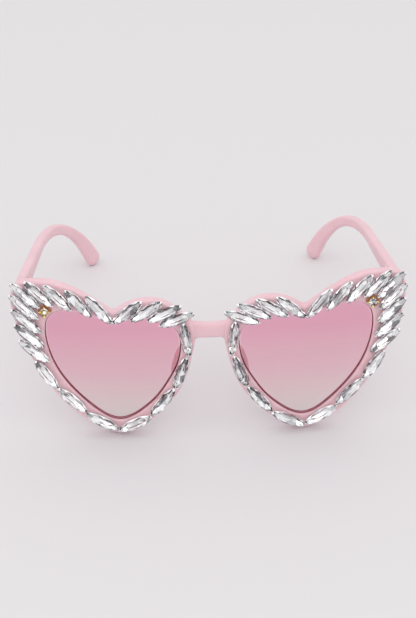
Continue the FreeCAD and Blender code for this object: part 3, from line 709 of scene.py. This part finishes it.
def face_axes(x):
    """Unit vectors across, up and out of the bent front at x, in the standing frame."""
    out = np.array([x, -math.sqrt(FRONT_RADIUS ** 2 - x ** 2), 0.0]) / FRONT_RADIUS
    up = np.array([0.0, 0.0, 1.0])
    return LEAN @ np.cross(up, out), LEAN @ up, LEAN @ out


def node_points(node):
    """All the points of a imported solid."""
    mesh = frame["nodes"][node].data
    points = np.empty(len(mesh.vertices) * 3)
    mesh.vertices.foreach_get("co", points)
    return points.reshape(-1, 3)


hand = np.random.default_rng(STONE_SEED)


def set_stone(name, node, points, faces, silvered, tilt):
    """A cut stone laid where its solid is: lengthwise along it, keel down, tilted a little."""
    solid = node_points(node)
    centre = (solid.min(0) + solid.max(0)) / 2
    _, _, out = face_axes(centre[0] / MILLIMETRE)
    spread = solid - solid.mean(0)
    spread = spread - np.outer(spread @ out, out)
    along = np.linalg.svd(spread, full_matrices=False)[2][0]
    axes = np.stack([along, np.cross(out, along), out])
    low, high = (solid @ axes.T).min(0), (solid @ axes.T).max(0)
    seat = np.array([(low[0] + high[0]) / 2, (low[1] + high[1]) / 2, low[2]]) @ axes
    laid = turned(turned(points, 0, tilt[0]), 1, tilt[1])
    laid[:, 2] -= laid[:, 2].min()
    stone = linked(name, (laid * MILLIMETRE @ axes + seat).tolist(), faces)
    painted(stone, crystal, foil)
    stone.data.polygons.foreach_set("material_index", silvered)
    # A random tone for each facet: its painted glint or dark reflection
    shade = stone.data.attributes.new("painted_facet_light", "FLOAT", "FACE")
    shade.data.foreach_set("value", hand.uniform(0, 1, len(faces)).astype(np.float32))
    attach(stone, "front")
    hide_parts(node)


navette = cut_stone(
    STONE_LENGTH, STONE_WIDTH, STONE_KEEL, STONE_GIRDLE, STONE_CROWN, STONE_OUTLINE
)
for name, _ in SIDES:
    for row, count in STONE_ROWS:
        for number in range(1, count + 1):
            tilt = hand.uniform(-1, 1, 2) * STONE_TILTS
            label, node = f"{name}_{row}_stone_{number}", f"{name}_{row}_navette_{number}"
            set_stone(label, node, *navette, tilt)

# Studs
# A round crystal held in a gold plated cup by four bent claws with broad blunt tips, glued on the
# upper outer corner of each rim.
CRYSTAL_RADIUS = 1.6
CRYSTAL_KEEL = 1.0
CRYSTAL_GIRDLE = 0.15
CRYSTAL_CROWN = 0.32
CRYSTAL_OUTLINE = (2.0, 0.5)
CUP_FLOOR = 0.3
CUP_POINTS = 48
# Foot, flank, lip and seat of the cup, as shares of the crystal's radius and its girdle's height
CUP_SHARES = np.array([
    (0.01, 0.0), (0.66, 0.0), (0.74, 0.1), (0.90, 0.72), (0.93, 0.80),
    (0.88, 0.84), (0.76, 0.76), (0.38, 0.25), (0.01, 0.24),
])
PRONG_COUNT = 4
PRONG_RADIUS = 0.35
PRONG_STANDOFF = 0.34
PRONG_BEND = 0.4
PRONG_TURN = 60.0
PRONG_STRAIGHT_SHARE = 0.5
PRONG_ROWS = 24
PRONG_POINTS = 16
CLAW_RADIUS = 0.45
CLAW_SWELL_SHARES = (0.45, 0.75)
CLAW_CLOSE_SHARE = 0.78
CLAW_END = 0.002

gold, nodes, link, shader = new_finish("gold_plating")
tarnish = mottled(nodes, link, 900.0)
tone = graded(nodes, link, tarnish, ((0.0, (0.92, 0.64, 0.16, 1)), (1.0, (1.0, 0.84, 0.42, 1))))
link(tone, shader.inputs["Base Color"])
shader.inputs["Metallic"].default_value = 1.0
shader.inputs["Roughness"].default_value = 0.22


def cup_grid():
    """A small basket turned about its axis: out from the foot, up the flank and down the seat."""
    profile = CUP_SHARES * (CRYSTAL_RADIUS, CUP_FLOOR + CRYSTAL_KEEL)
    around = np.linspace(0, 2 * np.pi, CUP_POINTS, endpoint=False)
    radius, high = profile[:, :1], profile[:, 1:]
    return np.stack([radius * np.cos(around), radius * np.sin(around), high + 0 * around], axis=-1)


def prong_grid(angle):
    """A claw up the basket that bends in over the crystal and ends in a broad blunt tip.

    Its line is straight up, then an arc. Its radius eases to the claw's, then closes as a circle.
    """
    height = CUP_FLOOR + CRYSTAL_KEEL + CRYSTAL_GIRDLE
    share = np.linspace(0, 1, PRONG_ROWS)[:, None]
    bent = np.clip((share - PRONG_STRAIGHT_SHARE) / (1 - PRONG_STRAIGHT_SHARE), 0, 1)
    bend = bent * math.radians(PRONG_TURN)
    inward = CRYSTAL_RADIUS + PRONG_STANDOFF - PRONG_BEND * (1 - np.cos(bend))
    rise = height * np.clip(share / PRONG_STRAIGHT_SHARE, 0, 1) + PRONG_BEND * np.sin(bend)
    start, end = CLAW_SWELL_SHARES
    thick = PRONG_RADIUS + (CLAW_RADIUS - PRONG_RADIUS) * eased((share - start) / (end - start))
    close = np.clip((share - CLAW_CLOSE_SHARE) / (1 - CLAW_CLOSE_SHARE), 0, 1)
    thick = thick * np.sqrt(np.clip(1 + CLAW_END - close ** 2, 0, 1))
    around = np.linspace(0, 2 * np.pi, PRONG_POINTS, endpoint=False)[None]
    across = inward + thick * np.cos(around) * np.cos(bend)
    side = thick * np.sin(around)
    high = rise + thick * np.cos(around) * np.sin(bend)
    cosine, sine = math.cos(angle), math.sin(angle)
    return np.stack([across * cosine - side * sine, across * sine + side * cosine, high], axis=-1)


brilliant = cut_stone(
    2 * CRYSTAL_RADIUS, 2 * CRYSTAL_RADIUS, CRYSTAL_KEEL, CRYSTAL_GIRDLE, CRYSTAL_CROWN,
    CRYSTAL_OUTLINE,
)
for name, _ in SIDES:
    set_stone(f"{name}_stud_stone", f"{name}_stud_crystal", *brilliant, (0.0, 0.0))
    solid = node_points(f"{name}_stud_setting")
    centre = (solid.min(0) + solid.max(0)) / 2
    across, up, out = face_axes(centre[0] / MILLIMETRE)
    axes = np.stack([across, up, out])
    seat = centre + out * ((solid @ out).min() - centre @ out)
    cup = skin(f"{name}_stud_claws", cup_grid() * MILLIMETRE @ axes + seat)
    prongs = [
        skin(f"{name}_prong_{k}", prong_grid(angle) * MILLIMETRE @ axes + seat)
        for k, angle in enumerate(np.arange(PRONG_COUNT) * 2 * np.pi / PRONG_COUNT)
    ]
    joined(cup, prongs, [])
    smoothed(cup)
    painted(cup, gold)
    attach(cup, "front")
    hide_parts(f"{name}_stud_setting")

# Glue
# Clear contact glue under every stone, pink from the plastic that shows through and darkened to
# a deep red by painted shade of the gaps under the stones. Round each stud it lies thick and has
# browned. Each bed keeps the shape of its solid.
BROWNED_REACH = 3.0
GLUE_TINTS_AND_SHADE = (
    # The clear glue's reds are painted shade of the gaps under the stones over the plastic's pink
    ("clear_glue", (0.42, 0.13, 0.14, 1), (0.66, 0.32, 0.33, 1)),
    ("browned_glue", (0.55, 0.20, 0.10, 1), (0.78, 0.42, 0.24, 1)),
)
glues = []
for label, deep, thin in GLUE_TINTS_AND_SHADE:
    glue, nodes, link, shader = new_finish(label)
    lumps = mottled(nodes, link, 500.0)
    browning_and_painted_shade = graded(nodes, link, lumps, ((0.0, deep), (1.0, thin)))
    link(browning_and_painted_shade, shader.inputs["Base Color"])
    link(bumped(nodes, link, lumps, 0.3, 0.0002), shader.inputs["Normal"])
    shader.inputs["Roughness"].default_value = 0.25
    shader.inputs["Transmission Weight"].default_value = 0.3
    glues.append(glue)
for name, _ in SIDES:
    beds = frame["nodes"][f"{name}_stone_glue"]
    painted(beds, *glues)
    stud = node_points(f"{name}_stud_setting").mean(0)
    spots = np.empty(len(beds.data.polygons) * 3)
    beds.data.polygons.foreach_get("center", spots)
    apart = np.linalg.norm(spots.reshape(-1, 3) - stud, axis=1)
    browned = apart < BROWNED_REACH * MILLIMETRE
    beds.data.polygons.foreach_set("material_index", browned.astype(np.int32))

# Hinges
# Stamped steel leaves sunk in the plastic, with knuckles that a slotted screw runs through. The
# plating is brushed and a little uneven. Each keeps the shape of its solid.
HINGE_PIECES = ("front_hinge_leaf", "temple_hinge_leaf", "hinge_screw")
steel, nodes, link, shader = new_finish("brushed_steel")
place = nodes.new("ShaderNodeTexCoord")
stretch = nodes.new("ShaderNodeMapping")
stretch.inputs["Scale"].default_value = (400.0, 400.0, 6000.0)
brush = nodes.new("ShaderNodeTexNoise")
brush.inputs["Scale"].default_value = 1.0
link(place.outputs["Object"], stretch.inputs["Vector"])
link(stretch.outputs["Vector"], brush.inputs["Vector"])
link(ranged(nodes, link, brush.outputs["Fac"], 0.2, 0.42), shader.inputs["Roughness"])
link(bumped(nodes, link, brush.outputs["Fac"], 0.1, 0.0001), shader.inputs["Normal"])
shader.inputs["Base Color"].default_value = (0.62, 0.60, 0.57, 1)
shader.inputs["Metallic"].default_value = 1.0
for name, _ in SIDES:
    for part in HINGE_PIECES:
        painted(frame["nodes"][f"{name}_{part}"], steel)

# Table
# A plain pale sheet that the glasses stand on, matt enough to mirror nothing. It runs on past the
# picture on every side.
TABLE_HALF = 2.0
table = linked("table", [
    (-TABLE_HALF, -TABLE_HALF, 0), (TABLE_HALF, -TABLE_HALF, 0),
    (TABLE_HALF, TABLE_HALF, 0), (-TABLE_HALF, TABLE_HALF, 0),
], [(0, 1, 2, 3)])
pale, _, _, shader = new_finish("pale_table")
shader.inputs["Base Color"].default_value = (0.735, 0.712, 0.727, 1)
shader.inputs["Roughness"].default_value = 0.8
painted(table, pale)

# Light
# Wide soft lamps overhead, at both sides and above the camera, in a bright white room. The stones
# mirror the room, and the lamps add only a little shade to it.
# Each lamp has a name, a place, the spot it is aimed at, a width and a power.
LAMPS = (
    ("overhead", (0.0, -0.15, 1.1), (0.0, 0.0, 0.0), 1.4, 1.2),
    ("left_side", (-1.1, -0.1, 0.75), (0.0, 0.0, 0.03), 0.8, 0.7),
    ("right_side", (1.1, -0.1, 0.75), (0.0, 0.0, 0.03), 0.8, 0.5),
    ("front_fill", (0.0, -1.1, 0.95), (0.0, 0.0, 0.03), 0.8, 2.0),
)
for name, spot, aim, size, power in LAMPS:
    lamp = bpy.data.lights.new(name, "AREA")
    lamp.size = size
    lamp.energy = power
    holder = bpy.data.objects.new(name, lamp)
    bpy.context.scene.collection.objects.link(holder)
    holder.location = spot
    way = np.array(aim) - np.array(spot)
    yaw = math.atan2(way[1], way[0])
    holder.rotation_euler = (math.acos(-way[2] / np.linalg.norm(way)), 0.0, yaw - math.pi / 2)
world = bpy.data.worlds.new("room")
bpy.context.scene.world = world
world.use_nodes = True
room = world.node_tree.nodes["Background"]
room.inputs["Color"].default_value = (1.0, 1.0, 1.0, 1)
room.inputs["Strength"].default_value = 0.93

# Camera
# A long lens in front of the glasses, looking down at them, with a slight turn and roll. Angles are
# in degrees, the place is in metres.
CAMERA_TILT = 34.21
CAMERA_ROLL = -1.2
CAMERA_YAW = 1.06
CAMERA_SPOT = (-0.00924, -0.5323, 0.3778)
long_lens = bpy.data.cameras.new("camera")
long_lens.sensor_fit = "HORIZONTAL"
long_lens.sensor_width = 24.0
long_lens.lens = 84.98
camera = bpy.data.objects.new("camera", long_lens)
bpy.context.scene.collection.objects.link(camera)
tilt, yaw, roll = (math.radians(angle) for angle in (CAMERA_TILT, CAMERA_YAW, CAMERA_ROLL))
ahead = np.array([math.sin(yaw) * math.cos(tilt), math.cos(yaw) * math.cos(tilt), -math.sin(tilt)])
level = np.array([math.cos(yaw), -math.sin(yaw), 0.0])
above = np.cross(level, ahead)
right = math.cos(roll) * level + math.sin(roll) * above
upright = -math.sin(roll) * level + math.cos(roll) * above
pose = np.eye(4)
pose[:3, 0], pose[:3, 1], pose[:3, 2], pose[:3, 3] = right, upright, -ahead, CAMERA_SPOT
camera.matrix_world = Matrix(pose.tolist())
bpy.context.scene.camera = camera
bpy.context.scene.view_settings.view_transform = "Standard"
